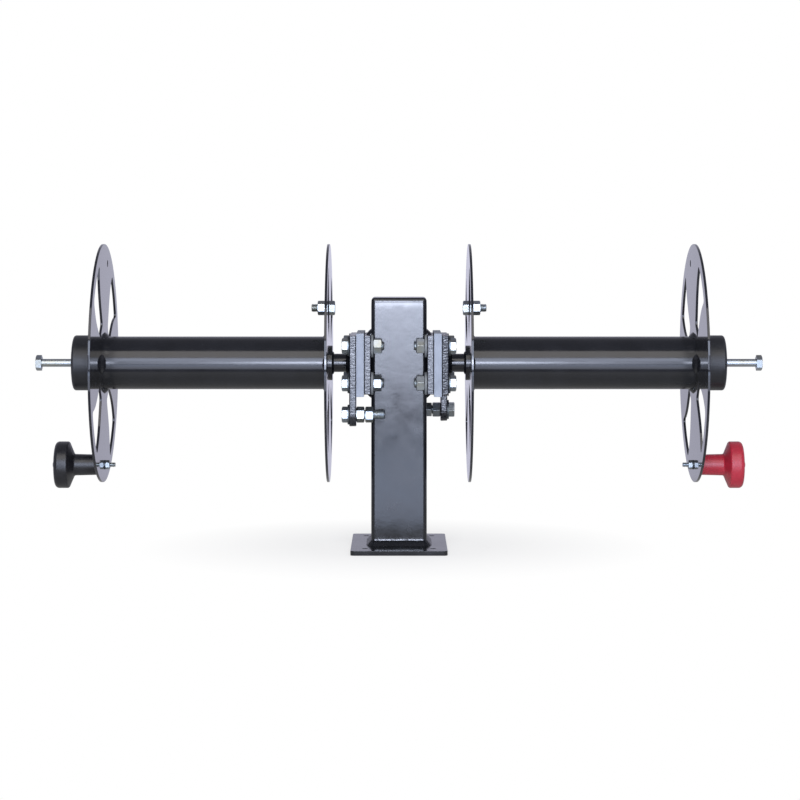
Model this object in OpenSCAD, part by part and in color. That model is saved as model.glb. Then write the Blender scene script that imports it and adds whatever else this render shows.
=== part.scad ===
// Dual cable reel: a post on a base plate carries one cantilevered reel on each side.
// X runs along the reels' common axis, Y to the rear, Z up.
// The origin is the middle of the base plate's underside.
// Millimetres throughout.

/* [Stand] */
// Height of the reels' axis above the floor
axis_h = 254.5; // [220:0.5:300]
// How far the post stands above the reels' axis
post_above = 91; // [70:0.5:140]
// Side of the square post tube
post_w = 76.2; // [65:0.1:100]
// Wall of the post tube
post_wall = 4.8; // [3:0.1:5]
// Outer corner radius of the post tube
post_r = 5.5; // [5.2:0.1:9]
// Thickness of the plate that closes the post
post_cap_t = 6; // [5:0.5:10]
// Rounding of the cap's top edge
post_cap_round = 4; // [1:0.5:4]

/* [Base plate] */
// Thickness of the base plate
base_t = 6.35; // [4:0.05:12]
// How far the base plate reaches past the post on each side
base_margin_x = 27.4; // [22:0.1:60]
// How far the base plate reaches past the post at the front and the rear
base_margin_y = 64.4; // [40:0.1:90]
// Corner radius of the base plate
base_r = 5; // [2:0.5:10]
// Diameter of the base plate's bolt holes
base_hole_d = 8; // [6:0.1:13]
// Distance from the bolt holes to the plate's side edges
base_hole_edge_x = 19.5; // [12:0.1:24]
// Distance from the bolt holes to the plate's front and rear edges
base_hole_edge_y = 27.5; // [12:0.1:40]
// Leg of the fillet weld round the post's foot
base_weld_leg = 7.5; // [3:0.1:9]

/* [Clamp stack] */
// Thickness of the backing and contact plates
plate_t = 9.525; // [6:0.005:14]
// Thickness of the insulating plate
insulator_t = 10.5; // [6:0.005:14]
// Distance of the clamp bolts above and below the reels' axis
bolt_rise = 25.4; // [24:0.1:40]
// Distance from the clamp bolts to the plates' front and rear edges
plate_edge_y = 15; // [14:0.1:24]
// Distance from the clamp bolts to the plates' top and bottom edges
plate_edge_z = 14.6; // [14:0.1:24]
// How far the insulating plate stands past the steel plates all round
insulator_lip = 3; // [1:0.1:8]
// Leg of the fillet welds between the backing plates and the post
plate_weld_leg = 7; // [3:0.1:9]
// Width of the terminal ear
ear_w = 32; // [28:0.1:36]
// Drop from the contact plate's lower edge to the terminal stud
ear_drop = 28; // [24:0.1:45]

/* [Half inch fasteners] */
// Thread diameter
half_d = 12.7; // [10:0.1:14]
// Width across flats of heads and nuts
half_af = 19.05; // [18:0.05:21]
// Height of a head
half_head = 7.9; // [5:0.1:10]
// Height of a nut
half_nut = 11.1; // [8:0.1:12]
// Diameter of a flat washer
half_washer_d = 27; // [25:0.1:28]
// Thickness of a flat washer
half_washer_t = 2.4; // [1.5:0.1:4]
// Length of a clamp bolt under its head
clamp_bolt_len = 49.5; // [47:0.1:60]
// Diameter of an insulating washer
insulating_washer_d = 31; // [26:0.1:34]
// Thickness of an insulating washer
insulating_washer_t = 3.2; // [2:0.1:5]
// Gap between an insulating washer and the post's face
insulating_washer_clear = 1.4; // [1:0.1:6]
// Wall of an insulating sleeve
sleeve_wall = 1.6; // [1:0.1:2.5]
// Length of a terminal bolt under its head
terminal_bolt_len = 50.8; // [48:0.1:62]
// Gap between the two nuts on a terminal bolt
terminal_nut_gap = 1; // [0.6:0.1:6]

/* [Spindle] */
// Diameter of the spindle
spindle_d = 25.4; // [20:0.1:28]
// Bare length of spindle between the contact plate and the hub flange
spindle_show = 24.15; // [22:0.05:60]
// Leg of the weld between the spindle and the contact plate
spindle_weld_leg = 5.8; // [2:0.1:6]
// Diameter of the thrust washer
thrust_washer_d = 40; // [36:0.1:46]
// Thickness of the thrust washer
thrust_washer_t = 3; // [2:0.1:5]
// Wire width of the retaining ring
ring_w = 3.8; // [3:0.1:4.5]
// Thickness of the retaining ring
ring_t = 1.6; // [1.2:0.1:2.5]
// Depth of the retaining ring's groove
groove_depth = 1.2; // [0.8:0.1:2]
// Distance from the groove to the spindle's end
groove_inset = 6; // [4:0.1:12]

/* [Drum] */
// Outer diameter of the drum tube
drum_od = 73; // [68:0.1:90]
// Wall of the drum tube
drum_wall = 5.15; // [3:0.05:6]
// Clear width between the two discs
drum_len = 308.3; // [250:0.1:400]
// How far the drum tube runs on past the outer disc
drum_over = 37.7; // [34:0.1:60]
// Leg of the tack welds between the drum and the discs
drum_weld_leg = 6; // [2:0.1:7]
// Angle that a tack weld spans round the drum
tack_angle = 40; // [20:1:60]
// Diameter of the hub flange
hub_flange_d = 48; // [46:0.1:60]
// Thickness of the hub flange
hub_flange_t = 3.8; // [3:0.1:10]
// Length of the sealing lip in front of the hub flange
hub_lip_len = 2; // [2:0.1:6]
// Wall of the sealing lip at its tip
hub_lip_wall = 1.2; // [0.8:0.1:3]
// Wall of the sealing lip at the flange
hub_lip_foot = 3.4; // [3:0.1:6]
// Diameter of the hub's sleeve
hub_sleeve_d = 42; // [40:0.1:44]
// Length of the hub's sleeve behind the flange
hub_sleeve_len = 45; // [30:0.1:80]
// Wall of the bearing bushes
bush_wall = 3.2; // [2:0.1:4.5]
// Length of the outer bearing carrier
carrier_len = 16; // [10:0.1:30]

/* [Discs] */
// Diameter of the discs
disc_d = 329; // [300:1:400]
// Thickness of the discs
disc_t = 3.4; // [2:0.1:6]
// Width of the rim outside the windows
rim_w = 17; // [12:0.1:30]
// Width of the web between the drum and the windows
hub_web = 21.5; // [16:0.1:30]
// Half of the angle that a window spans
window_half_angle = 15; // [10:1:26]
// Turn of the windows from the diagonals, their top towards the rear
window_turn = 6; // [0:1:20]
// Bow of the windows' sides between their ends, an angle
window_bow = 4; // [0:1:6]
// Corner radius of the windows
window_r = 6; // [2:0.1:8]
// Diameter of the spare hole in an outer disc
spare_hole_d = 9.5; // [6:0.1:12]
// Angle of the spare hole from the top, towards the rear
spare_hole_angle = 13; // [0:1:18]

/* [Lug bolt] */
// Thread diameter of the cable lug bolt
lug_d = 11.1; // [8:0.1:13]
// Width across flats of its head and nut
lug_af = 17.5; // [15:0.1:19]
// Height of its head
lug_head = 7.1; // [5:0.1:9]
// Height of its nut
lug_nut_h = 11; // [7:0.1:12]
// Diameter of the lug nut's flange
lug_flange_d = 21; // [20:0.1:26]
// Thickness of the lug nut's flange
lug_flange_t = 2.6; // [1.5:0.1:4]
// Length of the lug bolt under its head
lug_len = 25.4; // [20:0.1:40]
// Distance from the drum's surface to the lug bolt's axis
lug_offset = 39.5; // [24:0.1:60]

/* [End cap and bolt] */
// Wall of the end cap
cap_wall = 1.5; // [1:0.1:3]
// Length of the end cap's skirt
cap_skirt = 25; // [12:0.1:30]
// Rounding of the end cap's outer edge
cap_round = 3.5; // [1:0.1:3.6]
// Thickness of the end plug
end_plug_t = 10; // [6:0.1:14]
// Depth of the end plug inside the drum's end
end_plug_inset = 2; // [1:0.1:6]
// Length of end bolt that shows between the cap and its head
end_bolt_show = 44.6; // [20:0.1:60]
// Length of the end bolt under its head
end_bolt_len = 76.2; // [74:0.1:95]

/* [Knob] */
// Distance from the disc's edge to the knob's axis
knob_inset = 23.5; // [20:0.1:30]
// Diameter of the knob's head
knob_d = 64.3; // [50:0.1:72]
// Diameter of the stem next to the disc
stem_d = 28; // [24:0.1:32]
// Diameter of the stem under the head
stem_top_d = 29.6; // [26:0.1:34]
// Length of the stem
stem_len = 32; // [20:0.1:60]
// Length of the flare from the stem to the rim
flare_len = 10; // [7:0.1:16]
// Length of the rim
rim_len = 18.2; // [14:0.1:30]
// Rounding of the rim's front edge
rim_round = 5.5; // [2:0.1:6]
// Rise of the nose above the rim's front edge
nose_rise = 2.5; // [0.5:0.1:4]
// Diameter of the plug in the nose
nose_plug_d = 17; // [16:0.1:20]
// Diameter of the nub on the nose
nub_d = 9.5; // [6:0.1:12]
// Height of the nub
nub_h = 1.8; // [1:0.1:3]
// Thread diameter of the knob bolt
knob_bolt_d = 6.35; // [6:0.01:9]
// Width across flats of the knob bolt's head and nuts
knob_bolt_af = 11.1; // [11:0.1:13]
// Height of the knob bolt's head
knob_bolt_head = 4.2; // [4:0.1:7]
// Height of the nut inside the disc
knob_nut_h = 5.6; // [5:0.1:8]
// Height of the jam nut outside the disc
knob_jam_h = 4; // [3:0.1:6]
// Diameter of the knob bolt's washer
knob_washer_d = 13; // [12:0.1:22]
// Thickness of the knob bolt's washer
knob_washer_t = 1.2; // [1:0.1:3]
// Thread that stands past the knob nut
knob_bolt_tail = 7.8; // [2:0.1:15]
// Depth of the bolt head below the knob's front edge
knob_head_depth = 13; // [11:0.1:14]

/* [Hidden] */
// Radial room between pieces that are assembled and stay put
fit = 0.1;
// Radial room of a bearing
run = 0.05;
// Axial room between a turning face and a fixed one
axial = 0.3;
// Bolt holes are this much wider than their bolts
hole_room = 0.8;
// The crests of a bare thread lie this much below the shank in radius
thread_step = 0.18;
$fn = 64;

// Places along the reel axis, from the post outwards
x_post = post_w / 2;
x_back = x_post + plate_t;
x_insulator = x_back + insulator_t;
x_contact = x_insulator + plate_t;
x_hub = x_contact + spindle_show;
x_inner_disc = x_hub + hub_flange_t;
x_drum = x_inner_disc + disc_t;
x_outer_disc = x_drum + drum_len;
x_outer_face = x_outer_disc + disc_t;
x_drum_end = x_outer_face + drum_over;
x_cap = x_drum_end + cap_wall;
x_end_head = x_cap + end_bolt_show;
x_end_tip = x_end_head - end_bolt_len;
x_spindle_end = x_end_tip - axial;
x_ring = x_spindle_end - groove_inset - ring_t;
x_thrust = x_ring - fit - thrust_washer_t;
x_carrier = x_thrust - axial - carrier_len;
x_stem = x_outer_face + knob_jam_h + axial;

// Clamp stack
post_h = axis_h + post_above;
bolt_y = x_post + insulating_washer_clear + insulating_washer_d / 2;
plate_d = 2 * (bolt_y + plate_edge_y);
plate_h = 2 * (bolt_rise + plate_edge_z);
sleeve_d = half_d + 2 * (fit + sleeve_wall);
ear_y = (plate_d - ear_w) / 2;
ear_z = plate_h / 2 + ear_drop;
half_hole_d = half_d + hole_room;
terminal_thread = terminal_bolt_len - half_washer_t - plate_t - 2 * half_nut - terminal_nut_gap;

// Base plate
base_w = post_w + 2 * base_margin_x;
base_d = post_w + 2 * base_margin_y;
base_hole_x = base_w / 2 - base_hole_edge_x;
base_hole_y = base_d / 2 - base_hole_edge_y;

// Reel
drum_id = drum_od - 2 * drum_wall;
bush_id = spindle_d + 2 * run;
bush_od = bush_id + 2 * bush_wall;
lip_d = spindle_d + 2 * axial;
window_in = drum_od / 2 + hub_web;
window_out = disc_d / 2 - rim_w;
lug_r = drum_od / 2 + lug_offset;
lug_thread = lug_len - disc_t - lug_flange_t - lug_nut_h;
knob_at = disc_d / 2 - knob_inset;

// Knob, measured along its own axis from the foot of the stem
z_rim = stem_len + flare_len;
z_front = z_rim + rim_len;
z_head = z_front - knob_head_depth;
z_plug = z_head + axial + knob_bolt_head + axial;

// Points of an arc round c, counter-clockwise where a1 > a0
function arc(c, r, a0, a1, steps) =
    [for (i = [0 : steps]) let (a = a0 + (a1 - a0) * i / steps) c + r * [cos(a), sin(a)]];

// Puts a piece that is drawn along Z onto the reel axis: its X becomes Y, its Y becomes Z, its Z becomes X
module on_axis(x, y = 0, z = 0) {
    translate([x, y, axis_h + z]) rotate([90, 0, 90]) children();
}

// The right reel is drawn, and the left one is its mirror image
module reel_side(side) {
    if (side > 0) children();
    else mirror([1, 0, 0]) children();
}

// The right clamp stack is drawn, and the left one is the same turned half round the post
module stack_side(side) {
    rotate([0, 0, side > 0 ? 0 : 180]) children();
}

module rounded_square(w, d, r) {
    square([w - 2 * r, d], center = true);
    square([w, d - 2 * r], center = true);
    for (x = [-1, 1], y = [-1, 1]) translate([x * (w / 2 - r), y * (d / 2 - r)]) circle(r);
}

module ring(od, id, h) {
    difference() {
        cylinder(d = od, h = h);
        translate([0, 0, -1]) cylinder(d = id, h = h + 2);
    }
}

// Three-sided weld bead round a cylinder, standing on a flat face
module weld_ring(d, leg) {
    r = d / 2 + fit;
    rotate_extrude() polygon([[r, 0], [r + leg, 0], [r, leg]]);
}

// Four short beads of the same shape, evenly spaced round the cylinder
module weld_tacks(d, leg) {
    r = d / 2 + fit;
    for (quarter = [0 : 90 : 270]) rotate(quarter - tack_angle / 2)
        rotate_extrude(angle = tack_angle) polygon([[r, 0], [r + leg, 0], [r, leg]]);
}

// Hexagon with the corners turned off at the top, and at the bottom too for a nut
module hexagon(af, h, both = false) {
    corner = af / cos(30) / 2;
    flat = 0.48 * af;
    drop = (corner - flat) * tan(30);
    intersection() {
        cylinder(r = corner, h = h, $fn = 6);
        rotate_extrude() polygon(concat(
            both ? [[0, 0], [flat, 0], [corner, drop]] : [[0, 0], [corner, 0]],
            [[corner, h - drop], [flat, h], [0, h]]));
    }
}

// Bolt with its head above Z 0 and its chamfered shank below, where the last stretch can be bare thread
module hex_bolt(d, len, af, head, thread = 0) {
    tip = 0.1 * d;
    r = d / 2;
    end = thread > 0 ? r - thread_step : r;
    hexagon(af, head);
    rotate_extrude() polygon(concat(
        [[0, -len], [end - tip, -len], [end, tip - len]],
        thread > 0 ? [[end, thread - len], [r, thread - len]] : [],
        [[r, 0], [0, 0]]));
}

module hex_nut(d, af, h) {
    difference() {
        hexagon(af, h, both = true);
        translate([0, 0, -1]) cylinder(d = d + 2 * fit, h = h + 2);
    }
}

module at_clamp_bolts() {
    for (y = [-1, 1], z = [-1, 1]) translate([y * bolt_y, z * bolt_rise, 0]) children();
}

// Stand

module base_plate() {
    color("#26262a") linear_extrude(base_t) difference() {
        rounded_square(base_w, base_d, base_r);
        for (x = [-1, 1], y = [-1, 1])
            translate([x * base_hole_x, y * base_hole_y]) circle(d = base_hole_d);
    }
}

module post_tube() {
    color("#26262a") translate([0, 0, base_t]) linear_extrude(post_h - post_cap_t - base_t) difference() {
        rounded_square(post_w, post_w, post_r);
        rounded_square(post_w - 2 * post_wall, post_w - 2 * post_wall, post_r - post_wall);
    }
}

// Plate of the post's own outline with a rounded top edge
module post_cap() {
    inset = post_w / 2 - post_r;
    color("#26262a") translate([0, 0, post_h - post_cap_t]) hull()
        for (x = [-1, 1], y = [-1, 1]) translate([x * inset, y * inset, 0])
            rotate_extrude($fn = 32) polygon(concat(
                [[0, 0], [post_r, 0]],
                arc([post_r - post_cap_round, post_cap_t - post_cap_round], post_cap_round, 0, 90, 5),
                [[0, post_cap_t]]));
}

module base_weld() {
    run_len = post_w - 2 * post_r;
    color("#26262a") translate([0, 0, base_t]) for (quarter = [0 : 90 : 270]) rotate([0, 0, quarter]) {
        translate([post_w / 2, run_len / 2, 0]) rotate([90, 0, 0]) linear_extrude(run_len)
            polygon([[0, 0], [base_weld_leg, 0], [0, base_weld_leg]]);
        translate([run_len / 2, run_len / 2, 0]) rotate_extrude(angle = 90)
            polygon([[post_r, 0], [post_r + base_weld_leg, 0], [post_r, base_weld_leg]]);
    }
}

// One bead along the top and one along the bottom of each backing plate
module bracket_welds() {
    run_len = post_w - 2 * post_r;
    leg = min(plate_weld_leg, plate_t);
    color("#26262a") translate([0, 0, axis_h]) for (side = [-1, 1], up = [0, 1])
        stack_side(side) mirror([0, 0, 1 - up])
            translate([x_post, run_len / 2, plate_h / 2]) rotate([90, 0, 0]) linear_extrude(run_len)
                polygon([[0, 0], [leg, 0], [0, plate_weld_leg]]);
}

module backing_plate(side) {
    color("#303034") stack_side(side) on_axis(x_post) linear_extrude(plate_t) difference() {
        square([plate_d, plate_h], center = true);
        at_clamp_bolts() circle(d = sleeve_d + 2 * fit);
    }
}

module insulator_plate(side) {
    color("#c4c8d0") stack_side(side) on_axis(x_back) linear_extrude(insulator_t) difference() {
        square([plate_d + 2 * insulator_lip, plate_h + 2 * insulator_lip], center = true);
        at_clamp_bolts() circle(d = sleeve_d + 2 * fit);
    }
}

// Steel plate with the terminal ear at its lower rear corner
module contact_plate(side) {
    color("#303034") stack_side(side) on_axis(x_insulator) linear_extrude(plate_t) difference() {
        union() {
            square([plate_d, plate_h], center = true);
            translate([ear_y - ear_w / 2, -ear_z]) square([ear_w, ear_drop + plate_h / 2]);
            translate([ear_y, -ear_z]) circle(d = ear_w);
        }
        circle(d = spindle_d + 2 * fit);
        at_clamp_bolts() circle(d = half_hole_d);
        translate([ear_y, -ear_z]) circle(d = half_hole_d);
    }
}

module spindle(side) {
    color("#3a3a3e") reel_side(side) on_axis(x_insulator) difference() {
        cylinder(d = spindle_d, h = x_spindle_end - x_insulator);
        translate([0, 0, x_ring - fit - x_insulator])
            ring(spindle_d + 2, spindle_d - 2 * groove_depth, ring_t + 2 * fit);
    }
}

module spindle_welds() {
    color("#26262a") for (side = [-1, 1]) reel_side(side) on_axis(x_contact)
        weld_ring(spindle_d, spindle_weld_leg);
}

module thrust_washers() {
    color("#8f9296") for (side = [-1, 1]) reel_side(side) on_axis(x_thrust)
        ring(thrust_washer_d, spindle_d + 2 * fit, thrust_washer_t);
}

// Open rings that snap into the spindles' grooves
module retaining_rings() {
    inner = spindle_d - 2 * groove_depth + 2 * fit;
    mouth = 0.4 * inner;
    color("#6b6d70") for (side = [-1, 1]) reel_side(side) on_axis(x_ring) difference() {
        ring(inner + 2 * ring_w, inner, ring_t);
        translate([-mouth / 2, 0, -1]) cube([mouth, inner, ring_t + 2]);
    }
}

module clamp_bolts() {
    color("#c9d2da") for (side = [-1, 1]) stack_side(side) on_axis(x_contact + half_washer_t)
        at_clamp_bolts() hex_bolt(half_d, clamp_bolt_len, half_af, half_head);
}

module clamp_nuts() {
    color("#d4d8dc") for (side = [-1, 1]) stack_side(side) on_axis(x_post - insulating_washer_t - half_nut)
        at_clamp_bolts() hex_nut(half_d, half_af, half_nut);
}

// Under the heads of the clamp bolts and of the terminal bolts
module flat_washers() {
    color("#c0c6cc") for (side = [-1, 1]) stack_side(side) on_axis(x_contact) {
        at_clamp_bolts() ring(half_washer_d, half_hole_d, half_washer_t);
        translate([ear_y, -ear_z, 0]) ring(half_washer_d, half_hole_d, half_washer_t);
    }
}

module insulating_washers() {
    color("#b9bcc0") for (side = [-1, 1]) stack_side(side) on_axis(x_post - insulating_washer_t)
        at_clamp_bolts() ring(insulating_washer_d, half_hole_d, insulating_washer_t);
}

// Tubes that keep the clamp bolts off the backing plates
module insulating_sleeves() {
    color("#d8d6cc") for (side = [-1, 1]) stack_side(side) on_axis(x_post)
        at_clamp_bolts() ring(sleeve_d, half_d + 2 * fit, plate_t + insulator_t);
}

module terminal_bolts() {
    color("#c9d2da") for (side = [-1, 1]) stack_side(side)
        on_axis(x_contact + half_washer_t, ear_y, -ear_z)
            hex_bolt(half_d, terminal_bolt_len, half_af, half_head, terminal_thread);
}

module terminal_nuts() {
    color("#d4d8dc") for (side = [-1, 1], at = [half_nut, 2 * half_nut + terminal_nut_gap])
        stack_side(side) on_axis(x_insulator - at, ear_y, -ear_z) hex_nut(half_d, half_af, half_nut);
}

// Reels

module drum_tube(side) {
    color("#202024") reel_side(side) on_axis(x_drum) ring(drum_od, drum_id, x_drum_end - x_drum);
}

// A point of a window's outline, turned by up to the bow halfway between the window's ends
function bowed(p, bow) = let (
    r = norm(p),
    turn = atan2(p[1], p[0]) + bow * sin(180 * (r - window_in) / (window_out - window_in))
) r * [cos(turn), sin(turn)];

// Outline of one window about +X: two arcs joined by bowed sides with round corners
function window_points(bow) = let (
    r_out = window_out - window_r,
    r_in = window_in + window_r,
    a_out = window_half_angle - asin(window_r / r_out),
    a_in = window_half_angle - asin(window_r / r_in),
    side = window_half_angle,
    side_out = sqrt(r_out * r_out - window_r * window_r),
    side_in = sqrt(r_in * r_in - window_r * window_r),
    corner_out = r_out * [cos(a_out), sin(a_out)],
    corner_in = r_in * [cos(a_in), sin(a_in)],
    half = concat(
        arc([0, 0], window_out, 0, a_out, 6),
        arc(corner_out, window_r, a_out, side + 90, 4),
        [for (k = [1 : 5]) (side_out + (side_in - side_out) * k / 6) * [cos(side), sin(side)]],
        arc(corner_in, window_r, side + 90, a_in + 180, 4),
        arc([0, 0], window_in, a_in, 0, 3)),
    loop = concat(half, [for (i = [len(half) - 2 : -1 : 1]) [half[i][0], -half[i][1]]])
) [for (p = loop) bowed(p, bow)];

// The same cut disc is turned round for the other reel, so its windows bow the other way
module disc_windows(side) {
    bow = side > 0 ? -window_bow : window_bow;
    for (quarter = [45 : 90 : 315]) rotate(quarter - window_turn) polygon(window_points(bow));
}

module inner_disc(side) {
    color("#2a2a2e") reel_side(side) on_axis(x_inner_disc) linear_extrude(disc_t) difference() {
        circle(d = disc_d, $fn = 128);
        disc_windows(side);
        circle(d = hub_sleeve_d + 2 * fit);
        translate([0, lug_r]) circle(d = lug_d + hole_room);
    }
}

module outer_disc(side) {
    color("#2a2a2e") reel_side(side) on_axis(x_outer_disc) linear_extrude(disc_t) difference() {
        circle(d = disc_d, $fn = 128);
        disc_windows(side);
        circle(d = drum_od + 2 * fit);
        translate([0, -knob_at]) circle(d = knob_bolt_d + hole_room);
        rotate(90 - spare_hole_angle) translate([knob_at, 0]) circle(d = spare_hole_d);
    }
}

// Flange against the inner disc, with a sleeve that reaches into the drum and a lip close to the spindle
module hub(side) {
    color("#232327") reel_side(side) on_axis(x_hub) difference() {
        union() {
            cylinder(d = hub_flange_d, h = hub_flange_t);
            cylinder(d = hub_sleeve_d, h = hub_flange_t + hub_sleeve_len);
            translate([0, 0, -hub_lip_len])
                cylinder(d1 = lip_d + 2 * hub_lip_wall, d2 = lip_d + 2 * hub_lip_foot, h = hub_lip_len);
        }
        cylinder(d = bush_od + 2 * fit, h = hub_flange_t + hub_sleeve_len + 1);
        translate([0, 0, -hub_lip_len - 1]) cylinder(d = lip_d, h = hub_lip_len + 2);
    }
}

module hub_bush(side) {
    color("#b08d57") reel_side(side) on_axis(x_hub) ring(bush_od, bush_id, hub_flange_t + hub_sleeve_len);
}

module bearing_carrier(side) {
    color("#55575b") reel_side(side) on_axis(x_carrier)
        ring(drum_id - 2 * fit, bush_od + 2 * fit, carrier_len);
}

module end_bush(side) {
    color("#b08d57") reel_side(side) on_axis(x_carrier) ring(bush_od, bush_id, carrier_len);
}

// Tacks on both sides of the outer disc and on the drum side of the inner disc
module drum_welds(side) {
    color("#202024") reel_side(side) {
        on_axis(x_drum) weld_tacks(drum_od, drum_weld_leg);
        on_axis(x_outer_disc) mirror([0, 0, 1]) weld_tacks(drum_od, drum_weld_leg);
        on_axis(x_outer_face) weld_tacks(drum_od, drum_weld_leg);
    }
}

module end_plug(side) {
    color("#55575b") reel_side(side) on_axis(x_drum_end - end_plug_inset - end_plug_t)
        ring(drum_id - 2 * fit, half_d + 2 * fit, end_plug_t);
}

// Slip-on cap with a rounded outer edge and a hole for the end bolt
module end_cap(side) {
    outer = drum_od / 2 + fit + cap_wall;
    inner = drum_od / 2 + fit;
    hole = half_hole_d / 2;
    color("#18181a") reel_side(side) on_axis(x_cap) rotate_extrude() polygon(concat(
        [[hole, 0], [hole, -cap_wall], [inner, -cap_wall], [inner, -cap_skirt], [outer, -cap_skirt]],
        arc([outer - cap_round, -cap_round], cap_round, 0, 90, 6)));
}

module end_bolt(side) {
    color("#c9d2da") reel_side(side) on_axis(x_end_head) hex_bolt(half_d, end_bolt_len, half_af, half_head);
}

module lug_bolt(side) {
    color("#c9d2da") reel_side(side) on_axis(x_inner_disc, 0, lug_r) mirror([0, 0, 1])
        hex_bolt(lug_d, lug_len, lug_af, lug_head, lug_thread);
}

// Flange nut: the hexagon stands on a washer face that is part of it
module lug_nut(side) {
    color("#d4d8dc") reel_side(side) on_axis(x_drum, 0, lug_r) difference() {
        union() {
            cylinder(d = lug_flange_d, h = lug_flange_t);
            hexagon(lug_af, lug_flange_t + lug_nut_h);
        }
        translate([0, 0, -1]) cylinder(d = lug_d + 2 * fit, h = lug_flange_t + lug_nut_h + 2);
    }
}

module knob_bolt(side) {
    tip = x_outer_disc - knob_washer_t - knob_nut_h - knob_bolt_tail;
    under_head = x_stem + z_head + axial;
    color("#c9d2da") reel_side(side) on_axis(under_head, 0, -knob_at)
        hex_bolt(knob_bolt_d, under_head - tip, knob_bolt_af, knob_bolt_head);
}

// Nut inside the disc and jam nut outside it
module knob_nuts(side) {
    color("#d4d8dc") reel_side(side) {
        on_axis(x_outer_disc - knob_washer_t - knob_nut_h, 0, -knob_at)
            hex_nut(knob_bolt_d, knob_bolt_af, knob_nut_h);
        on_axis(x_outer_face, 0, -knob_at) hex_nut(knob_bolt_d, knob_bolt_af, knob_jam_h);
    }
}

module knob_washer(side) {
    color("#c0c6cc") reel_side(side) on_axis(x_outer_disc - knob_washer_t, 0, -knob_at)
        ring(knob_washer_d, knob_bolt_d + hole_room, knob_washer_t);
}

// Mushroom knob, turned about the knob bolt: stem, flare, rim and a slightly raised nose
module knob(side) {
    foot_round = 0.8;
    neck_r = 3;
    back_r = 3;
    neck_angle = 120;
    z_back = z_rim + back_r * sin(30);
    color(side > 0 ? "#b4324a" : "#1c1c1e") reel_side(side) on_axis(x_stem, 0, -knob_at) difference() {
        rotate_extrude() polygon(concat(
            [[0, 0], [stem_d / 2 - foot_round, 0], [stem_d / 2, foot_round]],
            arc([stem_top_d / 2 + neck_r, stem_len], neck_r, 180, neck_angle, 4),
            arc([knob_d / 2 - back_r, z_back], back_r, -60, 0, 4),
            arc([knob_d / 2 - rim_round, z_front - rim_round], rim_round, 0, 90, 5),
            [[nose_plug_d / 2, z_front + nose_rise], [0, z_front + nose_rise]]));
        translate([0, 0, -1]) cylinder(d = knob_bolt_d + 2 * run, h = z_front);
        translate([0, 0, z_head]) cylinder(d = nose_plug_d + 2 * fit, h = z_front);
    }
}

// Closes the knob's nose over the bolt head
module knob_plug(side) {
    r = nose_plug_d / 2;
    top = z_front + nose_rise;
    color(side > 0 ? "#b4324a" : "#1c1c1e") reel_side(side) on_axis(x_stem, 0, -knob_at)
        rotate_extrude() polygon([
            [0, z_plug], [r, z_plug], [r, top], [nub_d / 2, top],
            [0.42 * nub_d, top + 0.55 * nub_h], [0.26 * nub_d, top + 0.9 * nub_h], [0, top + nub_h]]);
}

base_plate();
post_tube();
post_cap();
base_weld();
bracket_welds();
backing_plate(-1);  // left_backing_plate
backing_plate(1);  // right_backing_plate
insulator_plate(-1);  // left_insulator_plate
insulator_plate(1);  // right_insulator_plate
contact_plate(-1);  // left_contact_plate
contact_plate(1);  // right_contact_plate
spindle(-1);  // left_spindle
spindle(1);  // right_spindle
spindle_welds();
thrust_washers();
retaining_rings();
clamp_bolts();
clamp_nuts();
flat_washers();
insulating_washers();
insulating_sleeves();
terminal_bolts();
terminal_nuts();
drum_tube(-1);  // left_drum_tube
drum_tube(1);  // right_drum_tube
inner_disc(-1);  // left_inner_disc
inner_disc(1);  // right_inner_disc
outer_disc(-1);  // left_outer_disc
outer_disc(1);  // right_outer_disc
hub(-1);  // left_hub
hub(1);  // right_hub
hub_bush(-1);  // left_hub_bush
hub_bush(1);  // right_hub_bush
bearing_carrier(-1);  // left_bearing_carrier
bearing_carrier(1);  // right_bearing_carrier
end_bush(-1);  // left_end_bush
end_bush(1);  // right_end_bush
drum_welds(-1);  // left_drum_welds
drum_welds(1);  // right_drum_welds
end_plug(-1);  // left_end_plug
end_plug(1);  // right_end_plug
end_cap(-1);  // left_end_cap
end_cap(1);  // right_end_cap
end_bolt(-1);  // left_end_bolt
end_bolt(1);  // right_end_bolt
lug_bolt(-1);  // left_lug_bolt
lug_bolt(1);  // right_lug_bolt
lug_nut(-1);  // left_lug_nut
lug_nut(1);  // right_lug_nut
knob_bolt(-1);  // left_knob_bolt
knob_bolt(1);  // right_knob_bolt
knob_nuts(-1);  // left_knob_nuts
knob_nuts(1);  // right_knob_nuts
knob_washer(-1);  // left_knob_washer
knob_washer(1);  // right_knob_washer
knob(-1);  // left_knob
knob(1);  // right_knob
knob_plug(-1);  // left_knob_plug
knob_plug(1);  // right_knob_plug
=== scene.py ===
from math import asin, atan2, ceil, cos, degrees, pi, radians, sin, sqrt, tan
import bmesh
import bpy
from mathutils import Matrix, Vector, noise


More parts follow.
